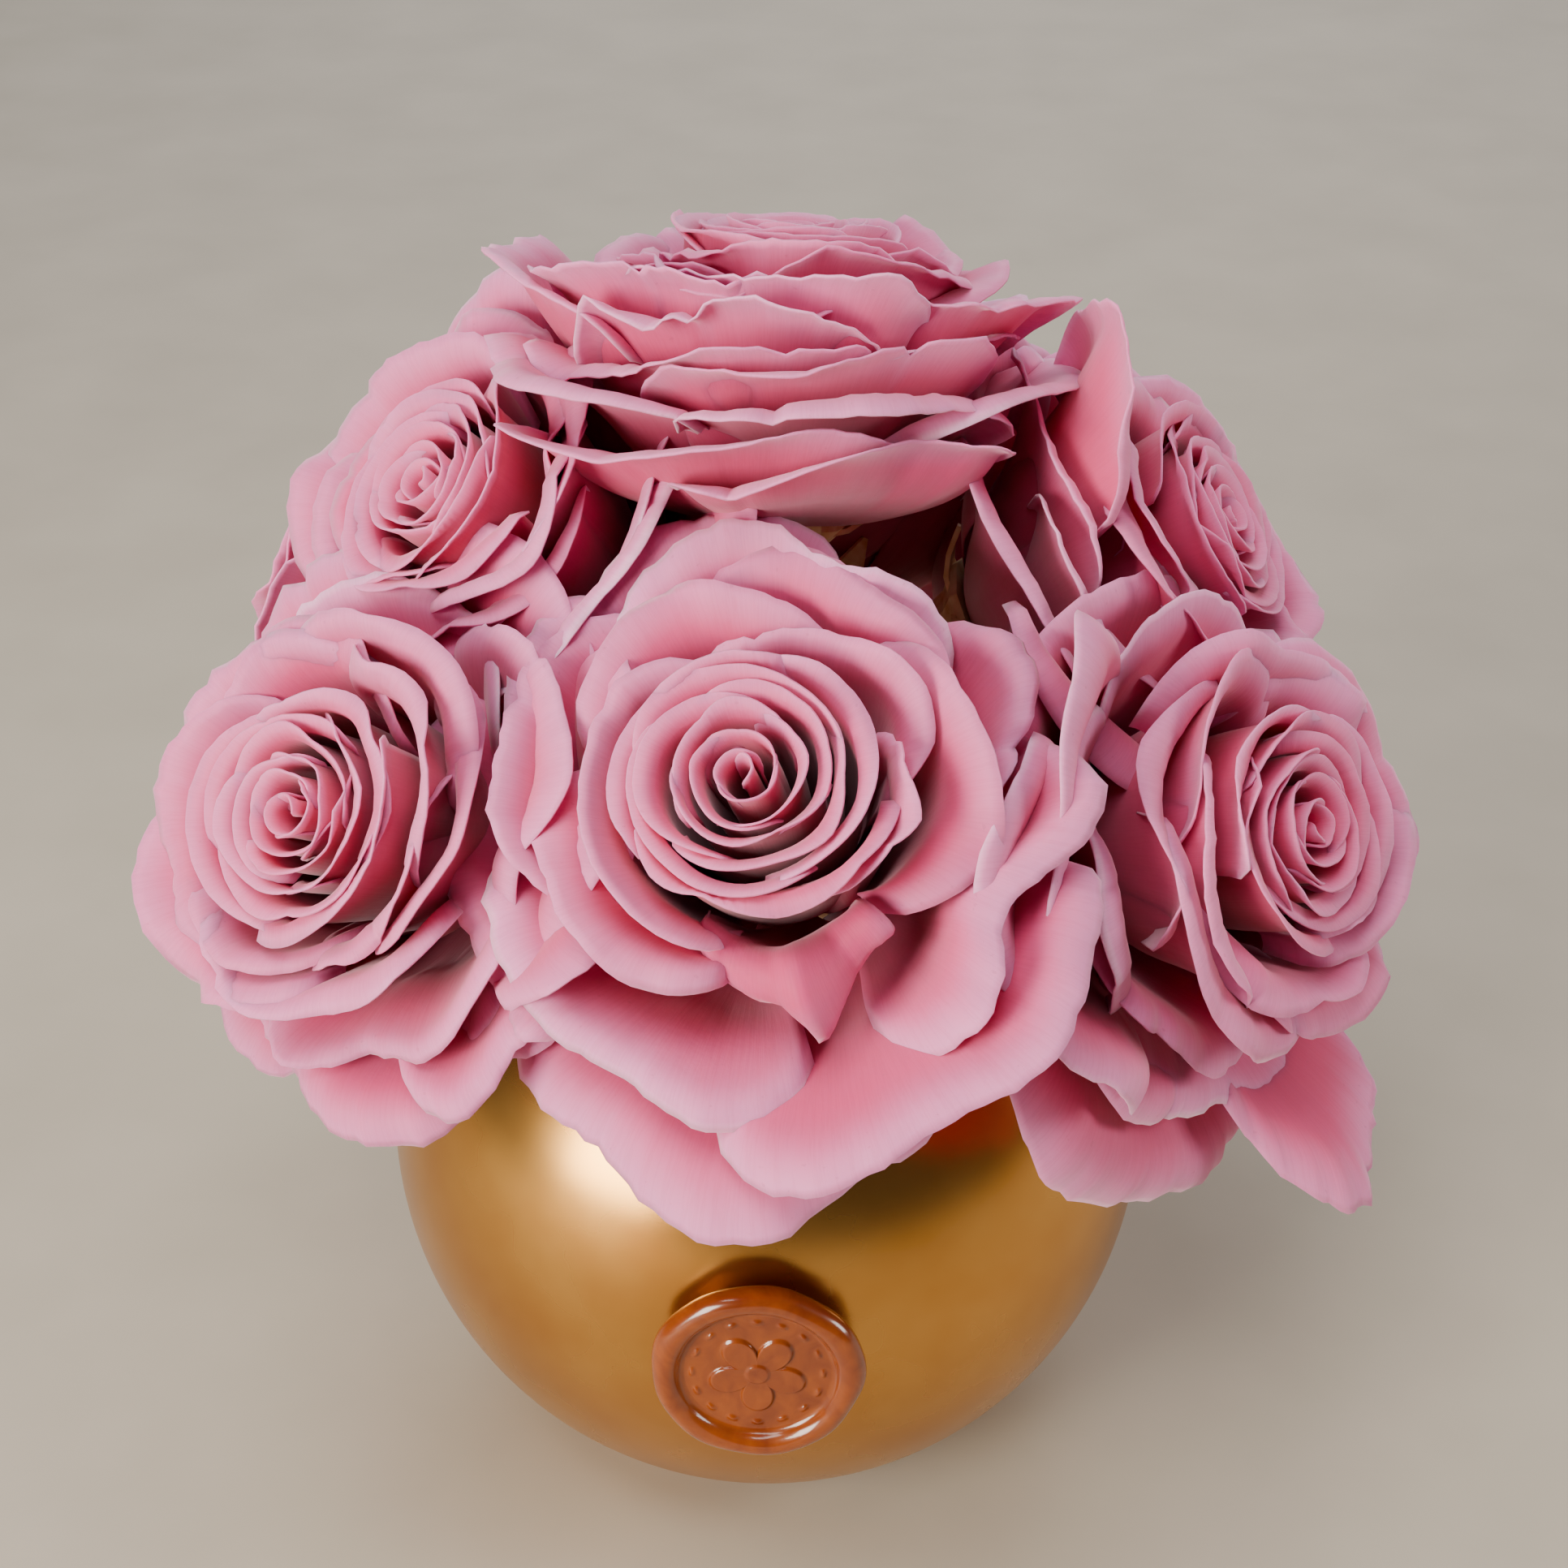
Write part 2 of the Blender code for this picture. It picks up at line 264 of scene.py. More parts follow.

# %% [markdown]
# ## Preserved rose petal
# A preserved petal has had its sap replaced with glycerine and dye. It stays soft and velvety, so
# it has almost no gloss but a faint sheen, light passes through it, and its colour is deep rose at
# the foot and pale lilac pink at the rim, where it has dried a little. The deep colour at the foot
# is also painted shade: it darkens the petals deep in the flower and in the heart's crevices. Fine
# veins fan from the foot. Their pattern is stretched noise on the petal's own map: across it the
# veins stand about 1 mm apart, drawn a little coarser than the real 0.5 mm so that they show. The
# other patterns are noise whose scale is one over the size of a patch in metres: pale clouds 14 mm
# wide, dark specks of 1.1 mm, and a crinkle of 2.4 mm in the skin.


# %% Petal material
VEIN_STRETCH = (40.0, 1.6, 1.0)
VEIN_SCALE = 1.6
CLOUD_SCALE = 70.0
SPECK_SCALE = 900.0
CRINKLE_SCALE = 420.0


def petal_colour(tree, place, veins, rim, body, deep):
    """Deep at the foot, partly as painted shade, and pale at the rim by the tone, then veins, clouds
    and specks over it.
    """
    tone_and_shade = add(tree, "ShaderNodeAttribute", {"attribute_name": "tone_and_shade"}).outputs["Fac"]
    colour = ramp(tree, tone_and_shade, [(0.0, deep), (0.48, body), (0.90, rim), (1.0, "#f0c0de")])
    vein_line = ramp(tree, veins, [(0.44, "#000000"), (0.5, "#ffffff"), (0.56, "#000000")])
    colour = mix(tree, mix(tree, 0.08, (0, 0, 0, 1), vein_line), colour, linear(deep))
    cloud = add(tree, "ShaderNodeTexNoise", Vector=place, Scale=CLOUD_SCALE, Detail=3.0).outputs[0]
    pale = ramp(tree, cloud, [(0.35, "#000000"), (0.75, "#4c4c4c")])
    colour = mix(tree, pale, colour, linear(rim))
    specks = add(tree, "ShaderNodeTexNoise", Vector=place, Scale=SPECK_SCALE, Detail=1.0).outputs[0]
    speck = ramp(tree, specks, [(0.745, "#000000"), (0.78, "#808080")])
    return mix(tree, speck, colour, linear("#a3506a"))


def petal_material(name, rim, body, deep):
    """A velvety petal that lets light through: sheen, a little scattering, a crinkled skin."""
    material, tree = new_material(name)
    shader = tree.nodes["Principled BSDF"]
    uv = add(tree, "ShaderNodeUVMap", {"uv_map": "petal_map"}).outputs[0]
    place = add(tree, "ShaderNodeTexCoord").outputs["Object"]
    fan = add(tree, "ShaderNodeMapping", Vector=uv, Scale=VEIN_STRETCH).outputs[0]
    veins = add(
        tree, "ShaderNodeTexNoise", Vector=fan, Scale=VEIN_SCALE, Detail=4.0, Roughness=0.6
    ).outputs[0]
    colour = petal_colour(tree, place, veins, rim, body, deep)
    tree.links.new(colour, shader.inputs["Base Color"])
    for socket, value in {
        "Roughness": 0.62, "Specular IOR Level": 0.30, "Sheen Weight": 0.35, "Sheen Roughness": 0.5,
        "Sheen Tint": linear("#ffe3f0"), "Subsurface Weight": 0.35,
        "Subsurface Radius": (1.0, 0.35, 0.45), "Subsurface Scale": 1.6 * MM,
    }.items():
        shader.inputs[socket].default_value = value
    crinkle = add(tree, "ShaderNodeTexNoise", Vector=place, Scale=CRINKLE_SCALE, Detail=3.0)
    skin = add(tree, "ShaderNodeBump", Strength=0.22, Distance=0.25 * MM, Height=crinkle.outputs[0])
    bump = add(
        tree, "ShaderNodeBump", Strength=0.18, Distance=0.3 * MM, Height=veins, Normal=skin.outputs[0]
    )
    tree.links.new(bump.outputs[0], shader.inputs["Normal"])
    return material


# The deep colour is the rose's own crimson at the foot and also painted shade deep in the flower and in
# the heart.
PETAL = petal_material("preserved_rose_petal", "#df86b8", "#cf4276", "#8c0f2c")
print("petal material made with", len(PETAL.node_tree.nodes), "nodes")

# %% [markdown]
# ## The measures of a petal
# No two petals of a rose are alike, but all grow the same way, so one formula makes them all from
# a short list of measures. The list below is a plain petal, and each petal states only where it
# differs. Lengths are in millimetres and angles in degrees.

# %% Measures of a petal
PLAIN_PETAL = dict(
    foot=6.0,          # radius at which it leaves the hip
    lift=0.0,          # height of its foot above the hip
    side=0.30,         # how much shorter it is at its sides, as a share of its length
    point=0.0,         # how far a middle point stands out, as a share of its length
    curl=80,           # how far the rim turns over
    roll=0.24,         # the share of its length that turns over
    ruffle=1.0,        # how much it waves
    cup=0.0,           # how far its sides bend out, or in if negative
    spiral=0.0,        # how much one side stands outside the other
    # The tone pair runs from the foot, which is deep and partly painted shade, to the pale rim.
    tone_and_shade=(0.10, 0.70), # colour at the foot and at the rim, from deep 0 to pale 1
    fade=1.5,          # how late the pale colour comes
)
print("a petal has", len(PLAIN_PETAL) + 4, "measures with its place, width, length and lean")

# %% [markdown]
# ## What drying does to a rim
# A fresh petal's rim is one soft curve. As it dries it pulls straight between a few stiff spots,
# so it gets corners there, folds between them, rolls over unevenly and may tear. Broken lines
# between random knots across the petal say all of this, and the same knots are used for each, so
# that a fold ends in a corner as it does on a real petal.


# %% Dried rim
KNOTS = 6
KNOT_SHIFT = 0.14
CORNER = 0.045
CREASE = 1.3


def dried_rim(u, rng):
    """Corners, a nick, creases and turns along u, which runs from -1 to 1 across the petal.

    Corners, creases and turns are broken lines between knots, and the nick is a narrow bell.
    """
    knots = np.linspace(-1, 1, KNOTS) + rng.uniform(-KNOT_SHIFT, KNOT_SHIFT, KNOTS)
    corners = np.interp(u, knots, rng.uniform(-CORNER, CORNER, KNOTS))
    creases = np.interp(u, knots, rng.uniform(-CREASE, CREASE, KNOTS))
    turns = np.interp(u, knots, rng.uniform(0.3, 1.7, KNOTS))
    nick_at, nick_wide = rng.uniform(-0.8, 0.8), rng.uniform(0.02, 0.05)
    nick = rng.uniform(0.0, 0.05) * np.exp(-((u - nick_at) / nick_wide) ** 2)
    return corners, nick, creases, turns


def petal_outline(u, spec):
    """The petal's length at each u, as a share: a flat-topped arch, with a peak for a point."""
    arch = (1 - np.abs(u) ** 3.0) ** 0.45 * spec["side"] + (1 - spec["side"])
    return arch + spec["point"] * np.maximum(1 - np.abs(u) / 0.5, 0)


across = np.linspace(-1, 1, 5)
print("a plain petal's outline:", np.round(petal_outline(across, PLAIN_PETAL), 2))

# %% [markdown]
# ## One petal
# A petal grows from the hip, leans out and rolls its rim back. Its section is a curve whose slope
# changes along its length, added up step by step, so the petal keeps its real length however it
# rolls. A plain lathe curve or a bent plane would stretch it. Across, it wraps round the flower's
# axis.


# %% Petal surface
VEIN_MAP_LENGTH = 50.0


def petal_sheet(spec, seed, columns, rows):
    """A petal in its rose's frame, as a grid of points with its map and its tone.

    The section's slope from the axis goes from lean[0] at the foot through lean[1] half way to
    lean[2] below the rim, and the last share of it, roll, turns over by a further curl degrees.
    Radius and height are the running sums of the slope's sine and cosine times the step. Waves,
    creases and dents, which are sines and the knots' broken lines, then grow towards the rim.
    """
    spec = PLAIN_PETAL | spec
    rng = np.random.default_rng(seed)
    phase = rng.uniform(0, math.tau, 8)
    u = np.linspace(-1, 1, columns)[None, :]
    v = np.linspace(0, 1, rows)[:, None] ** 0.85
    ruffle, length = spec["ruffle"], spec["long"]

    corners, nick, creases, turns = dried_rim(u, rng)
    frayed = 0.004 * np.sin(u * 29 + phase[0]) + 0.003 * np.sin(u * 53 + phase[1])
    reach = length * (petal_outline(u, spec) + (corners + frayed - nick) * min(ruffle, 1.6))

    slope = np.interp(v, (0, 0.5, 1), spec["lean"]) + 4 * np.sin(u * 2.6 + phase[3]) * v * ruffle
    start = 1 - spec["roll"] * (0.85 + 0.35 * np.sin(u * 2.2 + phase[5]))
    slope = np.radians(slope + spec["curl"] * turns * smooth_step(v, start, 1.04))
    step = reach * np.diff(v, axis=0, prepend=0)
    radius = spec["foot"] + np.cumsum(np.sin(slope) * step, axis=0)
    height = np.cumsum(np.cos(slope) * step, axis=0) + spec["lift"]

    fan = 0.35 + 0.65 * np.sin(v * math.pi / 2) ** 0.7
    angle = math.radians(spec["at"]) + np.radians(spec["wide"] / 2) * fan * u
    radius = radius + spec["cup"] * np.abs(u) ** 2.2 * v
    radius = radius + spec["spiral"] * u * (0.3 + 0.7 * v)
    wave = 0.9 * np.sin(u * 4.4 + phase[6]) + 0.45 * np.sin(u * 8.3 + phase[7] + 2 * v)
    radius = radius + ruffle * (wave + 0.9 * creases) * smooth_step(v, 0.3, 1.0)
    dents = np.sin(3 * u + 5 * v + phase[1]) * np.sin(4 * v - 2 * u + phase[2])
    radius = np.maximum(radius + ruffle * 0.7 * dents * smooth_step(v, 0.15, 0.6), 0.4)
    height = height + ruffle * (0.7 * np.sin(u * 3.9 + phase[5]) + 0.6 * creases) * v**2
    grid = np.stack([radius * np.cos(angle), radius * np.sin(angle), height], axis=-1) * MM

    uv = np.stack(np.broadcast_arrays((u + 1) / 2, v * length / VEIN_MAP_LENGTH), axis=-1)
    # Tone is deep at the foot and pale towards the rim, with a random shift per petal. Its deep end is
    # partly painted shade where the petal sits deep in the flower.
    deep, pale = spec["tone_and_shade"]
    edge = 0.22 * smooth_step(v, 0.80, 1.0) + 0.10 * np.abs(u) ** 8 * smooth_step(v, 0.4, 0.9)
    tone_and_shade = deep + (pale - deep) * v ** spec["fade"] + edge + rng.uniform(-0.05, 0.05)
    return grid, uv, np.clip(tone_and_shade, 0, 1)


sample, _, _ = petal_sheet(dict(at=0, wide=90, long=45, lean=(50, 20, 35)), 0, 30, 30)
print("a petal 45 mm long rises", round(float(sample[..., 2].max()) / MM, 1), "mm")

# %% [markdown]
# ## A rose's frame
# Each rose faces its own way. Its stem in the model is a plain cylinder, and a cylinder's longest
# direction is its axis, so the stem tells where the rose stands and where it looks. The frame's
# second direction is up as far as it can be, so a petal at 90 degrees is at twelve o'clock.


# %% Rose frames
ROSES = ("front", "left_top", "left", "crown", "right_top", "right", "back_left", "back", "back_right")
HIP_HEIGHT = 12.3 * MM


def node_points(name):
    """The corners of a solid of the model, as an array."""
    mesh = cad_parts[name].data
    points = np.empty(len(mesh.vertices) * 3, dtype=np.float32)
    mesh.vertices.foreach_get("co", points)
    return points.reshape(-1, 3).astype(float)


def rose_frame(name):
    """The rose's foot and its three directions, as the columns of a matrix."""
    stem, hip = node_points(f"{name}_rose_stem"), node_points(f"{name}_rose_calyx")
    middle = (stem.min(axis=0) + stem.max(axis=0)) / 2
    _, _, ways = np.linalg.svd(stem - stem.mean(axis=0))
    axis = ways[0] * np.sign(ways[0] @ (hip.mean(axis=0) - middle))
    foot = middle + axis * (((stem - middle) @ axis).max() + HIP_HEIGHT)
    up = np.array((0.0, 0.0, 1.0)) - axis[2] * axis
    up = up / np.linalg.norm(up)
    return foot, np.stack([np.cross(up, axis), up, axis], axis=1)


frames = {name: rose_frame(name) for name in ROSES}
for name, (foot, turn) in frames.items():
    print(name, "foot in mm", np.round(foot / MM, 1), "faces", np.round(turn[:, 2], 2))

# %% [markdown]
# ## The heart
# The heart is wound tight: each petal wraps most of the way round and starts inside the one before,
# turned by the golden angle, as leaves and petals are on a growing tip. Its petals are nearly
# upright, and get shorter across and a little longer from the bud outwards.


# %% Heart petals
GOLDEN = 137.5
HEART_PETALS = 16
HEART_TIP = 43.0


def heart_petals(start, spread=16.0):
    """The wound petals, from a tight bud out to the heart's last ring, whose radius is the spread.

    A petal's share runs from 0 to 1 outwards, and its mean lean is the angle whose tangent is its
    way out over its height.
    """
    petals = []
    for number in range(HEART_PETALS):
        share = number / (HEART_PETALS - 1)
        ring, foot = 1.6 + (spread - 2.6) * share**0.9, 1.0 + 4.0 * share
        mean = math.degrees(math.atan2(ring - foot, HEART_TIP))
        # Heart petals start their tone below zero and fade late, so they keep the deepest colour almost
        # to their rims: painted shade in the heart's crevices.
        petals.append(dict(
            at=start + GOLDEN * number, wide=235 - 85 * share, foot=foot,
            long=HEART_TIP - 0.5 + 2.5 * share, lift=0.6, ruffle=0.08 + 0.30 * share,
            curl=20 + 60 * share, roll=0.05 + 0.05 * share, side=0.10, spiral=0.6 + 0.7 * share,
            lean=(mean * 2.6, mean, max(mean * 0.2 - 2, -6)), tone_and_shade=(-0.35, 0.52 + 0.08 * share),
            fade=4.0,
        ))
    return petals


print("the heart has", len(heart_petals(0)), "petals")

# %% [markdown]
# ## The cup and the guard petals
# Round the heart stand the cup's petals, upright with a rolled rim, and then the guard petals, wide
# and bent back. Both are rings of equal steps, put out of step by a slow sine so that no ring looks
# counted out.


# %% Cup and guard petals
def cup_petals(count, start, slope, length, **more):
    """Upright petals round the heart, whose rims roll over."""
    petals = []
    for number in range(count):
        petal = dict(
            at=start + 360 / count * number + 11 * math.sin(number * 2.3), wide=122, foot=6.0,
            long=length * (1 + 0.05 * math.sin(number * 1.7)), lean=(48, slope, slope + 8),
            curl=75, roll=0.20, ruffle=0.8, cup=-1.5, spiral=1.2, tone_and_shade=(0.05, 0.60),
        )
        petals.append(petal | more)
    return petals


def guard_petals(count, start, length, lean, **more):
    """Wide outer petals, bent back."""
    petals = []
    for number in range(count):
        petal = dict(
            at=start + 360 / count * number + 14 * math.sin(number * 1.9),
            wide=100 + 10 * math.sin(number * 2.9), foot=8.0, lean=lean, curl=52, roll=0.20,
            long=length * (1 + 0.08 * math.sin(number * 2.1)), ruffle=1.5, cup=-2.0, tone_and_shade=(0.10, 0.70),
        )
        petals.append(petal | more)
    return petals


def rose_layers(start, size):
    """The petals of an ordinary rose by the node that they stand for."""
    return {
        "heart": heart_petals(start),
        "inner_petals": cup_petals(5, start + 40, 10, 46) + cup_petals(5, start + 75, 17, 46, curl=85),
        "outer_petals": guard_petals(5, start + 20, 45 * size, (60, 28, 50))
        + guard_petals(5, start + 58, 46 * size, (70, 42, 75)),
    }


print("an ordinary rose:", {whorl: len(list_) for whorl, list_ in rose_layers(0, 1).items()}, "petals")

# %% [markdown]
# ## The front rose
# The front rose is seen best, so its cup and guard petals are given one by one, by the clock: twelve
# is at 90 degrees. Two of them make its look: a petal at the lower right that folds over to a
# point, and the broad frilled one that hangs over the bowl.


# %% Front rose
def front_layers():
    """The front rose, petal by petal: its angles are a clock's, twelve at 90 degrees."""
    inner = [
        dict(at=190, wide=165, long=45.5, lean=(48, 10, 16), curl=60, roll=0.22),
        dict(at=62, wide=120, long=45.5, lean=(48, 12, 18), curl=70, roll=0.20),
        dict(at=350, wide=95, long=45, lean=(48, 8, 12), curl=55, roll=0.16),
        dict(at=292, wide=72, long=47, lean=(46, 14, 24), curl=190, roll=0.36, ruffle=0.3, side=0.15,
             point=0.22),
        dict(at=120, wide=110, long=46, lean=(50, 17, 22), curl=75, roll=0.22),
        dict(at=222, wide=105, long=45, lean=(52, 18, 28), curl=80, roll=0.24),
        dict(at=20, wide=100, long=47, lean=(52, 20, 28), curl=85, roll=0.24),
        dict(at=75, wide=90, long=48, lean=(54, 24, 30), curl=70, roll=0.22),
    ]
    outer = [
        dict(at=170, wide=95, long=45, lean=(60, 28, 46), curl=60),
        dict(at=95, wide=100, long=47, lean=(58, 28, 34), curl=60),
        dict(at=40, wide=92, long=46, lean=(60, 30, 46), curl=75),
        dict(at=350, wide=84, long=49, lean=(64, 36, 52), curl=70, ruffle=1.8),
        dict(at=243, wide=98, long=45, lean=(66, 38, 62), curl=62, side=0.22, ruffle=1.1),
        dict(at=318, wide=92, long=53, lean=(68, 46, 66), curl=50, side=0.22, ruffle=1.3),
        dict(at=195, wide=85, long=50, lean=(72, 48, 66), curl=60),
        dict(at=268, wide=98, long=51, lean=(78, 58, 90), curl=40, ruffle=2.0),
        dict(at=130, wide=90, long=50, lean=(66, 38, 50), curl=70),
    ]
    shared = dict(foot=6.0, ruffle=0.7, cup=-1.5, spiral=1.2, tone_and_shade=(0.05, 0.60))
    shared_outer = dict(foot=8.0, roll=0.20, ruffle=1.4, cup=-2.0, tone_and_shade=(0.10, 0.68))
    return {
        "heart": heart_petals(25, spread=17.0),
        "inner_petals": [shared | petal for petal in inner],
        "outer_petals": [shared_outer | petal for petal in outer],
    }


print("the front rose:", {whorl: len(list_) for whorl, list_ in front_layers().items()}, "petals")

# %% [markdown]
# ## Put the petals on
# The petals of one whorl become one piece, which stands for that whorl in the model.


# %% Put petals on
PETAL_THICKNESS = 0.32 * MM
GRIDS = {"heart": (34, 14), "inner_petals": (34, 24), "outer_petals": (40, 32)}
PIECE_NAMES = {"heart": "heart_petals", "inner_petals": "inner_petals_fine",
               "outer_petals": "outer_petals_fine"}


def placed(sheet, foot, turn):
    """A sheet moved from its rose's frame to the room: its points times the turn, plus the foot."""
    grid, uv, tone_and_shade = sheet
    return grid @ turn.T + foot, uv, tone_and_shade


def dress(piece, node):
    """The piece moves with the body and stands for one solid of the model, which is hidden."""
    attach(piece, "root")
    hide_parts(node)


def make_rose(name, layers, seed):
    """One piece for each whorl of a rose."""
    foot, turn = frames[name]
    for layer, petals in layers.items():
        sheets = [
            placed(petal_sheet(petal, seed * 100 + number, *GRIDS[layer]), foot, turn)
            for number, petal in enumerate(petals)
        ]
        piece = mesh_from_sheets(f"{name}_rose_{PIECE_NAMES[layer]}", sheets, PETAL_THICKNESS, PETAL)
        dress(piece, f"{name}_rose_{layer}")
        seed += 7
        print(piece.name, len(petals), "petals,", len(piece.data.vertices), "points")


# %% [markdown]
# ## More guard petals
# Where its neighbours leave room, a rose opens further. These petals fill the gaps between the
# heads, hang over the bowl's shoulders, and close the side of the crown rose that is seen.

# %% More guard petals
MORE = {
    "crown": [
        dict(at=92, wide=104, long=47, lean=(58, 26, 22), curl=60),
        dict(at=50, wide=96, long=50, lean=(58, 28, 28), curl=55),
        dict(at=136, wide=96, long=49, lean=(60, 30, 30), curl=55),
        dict(at=72, wide=100, long=44, lean=(66, 40, 34), curl=60),
        dict(at=112, wide=100, long=43, lean=(68, 44, 38), curl=60),
        dict(at=14, wide=80, long=52, lean=(60, 34, 40), curl=45),
        dict(at=80, wide=96, long=42, lean=(88, 66, 30), curl=50),
        dict(at=118, wide=90, long=42, lean=(88, 68, 34), curl=50),
    ],
    "left_top": [
        dict(at=300, wide=85, long=54, lean=(70, 54, 84)),
        dict(at=250, wide=85, long=52, lean=(72, 56, 90)),
        dict(at=345, wide=80, long=50, lean=(66, 48, 70)),
        dict(at=180, wide=90, long=50, lean=(70, 48, 72)),
    ],
    "right_top": [
        dict(at=200, wide=85, long=56, lean=(66, 46, 66)),
        dict(at=235, wide=85, long=56, lean=(70, 54, 84)),
        dict(at=120, wide=60, long=58, lean=(56, 26, 34), point=0.16, ruffle=1.0),
        dict(at=280, wide=85, long=50, lean=(70, 54, 84)),
    ],
    "left": [
        dict(at=300, wide=80, long=41, lean=(66, 42, 58), ruffle=2.2),
        dict(at=345, wide=85, long=46, lean=(66, 40, 56), ruffle=2.2),
        dict(at=20, wide=85, long=50, lean=(66, 44, 60), ruffle=2.0),
    ],
    "right": [
        dict(at=272, wide=44, long=54, lean=(64, 50, 62), point=0.14, curl=30, side=0.6),
        dict(at=228, wide=90, long=50, lean=(76, 58, 80)),
        dict(at=175, wide=85, long=56, lean=(66, 46, 60)),
        dict(at=140, wide=80, long=52, lean=(62, 38, 50)),
    ],
}
print("more petals on", list(MORE))

# %% [markdown]
# ## All nine roses
# Every rose starts its rings at another angle and has its own seed. The two at the sides are a
# little smaller, since they are squeezed between their neighbours.


# %% Roses
def fuller(layers, petals):
    """The rose with more guard petals."""
    shared = dict(foot=8.0, roll=0.22, ruffle=1.7, cup=-2.0, tone_and_shade=(0.08, 0.66), curl=60)
    layers["outer_petals"] = layers["outer_petals"] + [shared | petal for petal in petals]
    return layers


SIDE_SIZE, USUAL_SIZE = 0.86, 0.94
for number, name in enumerate(ROSES):
    size = SIDE_SIZE if name in ("left", "right") else USUAL_SIZE
    layers = front_layers() if name == "front" else rose_layers(40 * number, size)
    make_rose(name, fuller(layers, MORE.get(name, [])), number + 1)

# %% [markdown]
# ## Turned pieces
# The bowl is spun over a former on a lathe, and the seal is as round as its stamp, so both are a
# profile carried round an axis. Blender's Screw does this too, but worked out here the rings join
# back to the first with no seam to merge, and each end closes on one point.


# %% Turned pieces
def turned_piece(name, profile, steps, material, shape=None):
    """A solid of revolution about Z: a profile of radius and height in metres that runs down its
    outer side, with both its ends on the axis.

    Each inner point of the profile becomes a ring, each end one point, and the rings' last quads
    join back to the first, so there is no seam. Shape may move the finished points.
    """
    rings = np.array(profile[1:-1])
    angles = np.arange(steps) * math.tau / steps
    x = rings[:, :1] * np.cos(angles)
    y = rings[:, :1] * np.sin(angles)
    z = rings[:, 1:] + 0 * x
    points = np.concatenate([
        [(0.0, 0.0, profile[0][1])],
        np.stack([x, y, z], axis=-1).reshape(-1, 3),
        [(0.0, 0.0, profile[-1][1])],
    ])
    if shape:
        points = shape(points)
    here = np.arange(steps)
    after = (here + 1) % steps
    base = (np.arange(len(rings) - 1) * steps + 1)[:, None]
    quads = np.stack([base + here, base + steps + here, base + steps + after, base + after], -1)
    top = np.stack([here * 0, here + 1, after + 1], axis=-1)
    last = 1 + (len(rings) - 1) * steps
    bottom = np.stack([last + after, last + here, here * 0 + len(points) - 1], axis=-1)
    mesh = bpy.data.meshes.new(name)
    faces = quads.reshape(-1, 4).tolist() + top.tolist() + bottom.tolist()
    mesh.from_pydata(points.tolist(), [], faces)
    mesh.shade_smooth()
    mesh.materials.append(material)
    piece = bpy.data.objects.new(name, mesh)
    bpy.context.scene.collection.objects.link(piece)
    return piece


def arc_points(radius, start, end, steps, middle=(0.0, 0.0)):
    """Points of a circle by their angle from straight up towards +X, in degrees."""
    angles = np.radians(np.linspace(start, end, steps))
    return [(middle[0] + radius * math.sin(a), middle[1] + radius * math.cos(a)) for a in angles]


print("a quarter circle:", np.round(arc_points(1.0, 0, 90, 3), 2).tolist())

# %% [markdown]
# ## Satin gold lacquer
# The bowl is spun aluminium under a gold lacquer. Spinning and spraying leave it satin: it mirrors
# the windows, but blurred, and a hair more blurred in some places than in others. Two close golds
# drift over 22 mm, and a shallow grain of 0.4 mm breaks the mirror.


# %% Gold
def satin_gold():
    """Gold lacquer on spun metal: satin, with a roughness that drifts from place to place."""
    material, tree = new_material("satin_gold_lacquer")
    shader = tree.nodes["Principled BSDF"]
    place = add(tree, "ShaderNodeTexCoord").outputs["Object"]
    cloud = add(tree, "ShaderNodeTexNoise", Vector=place, Scale=45.0, Detail=3.0).outputs[0]
    gold = ramp(tree, cloud, [(0.3, "#c08641"), (0.7, "#cf9a52")])
    tree.links.new(gold, shader.inputs["Base Color"])
    shader.inputs["Metallic"].default_value = 1.0
    rough = add(tree, "ShaderNodeMapRange", in0=cloud, in3=0.24, in4=0.30).outputs[0]
    tree.links.new(rough, shader.inputs["Roughness"])
    grain = add(tree, "ShaderNodeTexNoise", Vector=place, Scale=2600.0, Detail=2.0).outputs[0]
    bump = add(tree, "ShaderNodeBump", Strength=0.05, Distance=0.05 * MM, Height=grain)
    tree.links.new(bump.outputs[0], shader.inputs["Normal"])
    return material


GOLD = satin_gold()
print("gold made with", len(GOLD.node_tree.nodes), "nodes")

# %% [markdown]
# ## The bowl
# A bubble bowl is one sphere, cut flat below to stand and open above. Its profile runs up the inner
# wall, round the lip, and down the outside to the flat base. The model's own radius and base give
# it, and the lip is a half circle as wide as the wall.

# %% Bowl
WALL = 2.2 * MM
BOWL_FLOOR = 3.0 * MM
MOUTH_RADIUS = 40 * MM
FOOT_ROUND = 1.2 * MM
CENTRE = (0.0, float(bowl_middle[2]))
mouth = math.degrees(math.asin(MOUTH_RADIUS / BOWL_RADIUS))
base = 180 - math.degrees(math.asin(BASE_RADIUS / BOWL_RADIUS))
inside = BOWL_RADIUS - WALL
floor_angle = math.degrees(math.acos((BOWL_FLOOR - CENTRE[1]) / inside))
lip_middle = arc_points(BOWL_RADIUS - WALL / 2, mouth, mouth, 1, CENTRE)[0]
profile = [(0.0, BOWL_FLOOR)] + arc_points(inside, floor_angle, mouth, 40, CENTRE)
profile += arc_points(WALL / 2, mouth - 180, mouth, 9, lip_middle)[1:-1]
profile += arc_points(BOWL_RADIUS, mouth, base - 1.5, 64, CENTRE)
profile += [(BASE_RADIUS - FOOT_ROUND * 0.4, 0.25 * MM), (BASE_RADIUS - FOOT_ROUND, 0.0), (0.0, 0.0)]
bowl = turned_piece("gold_bowl", profile, 160, GOLD)
dress(bowl, "bowl")
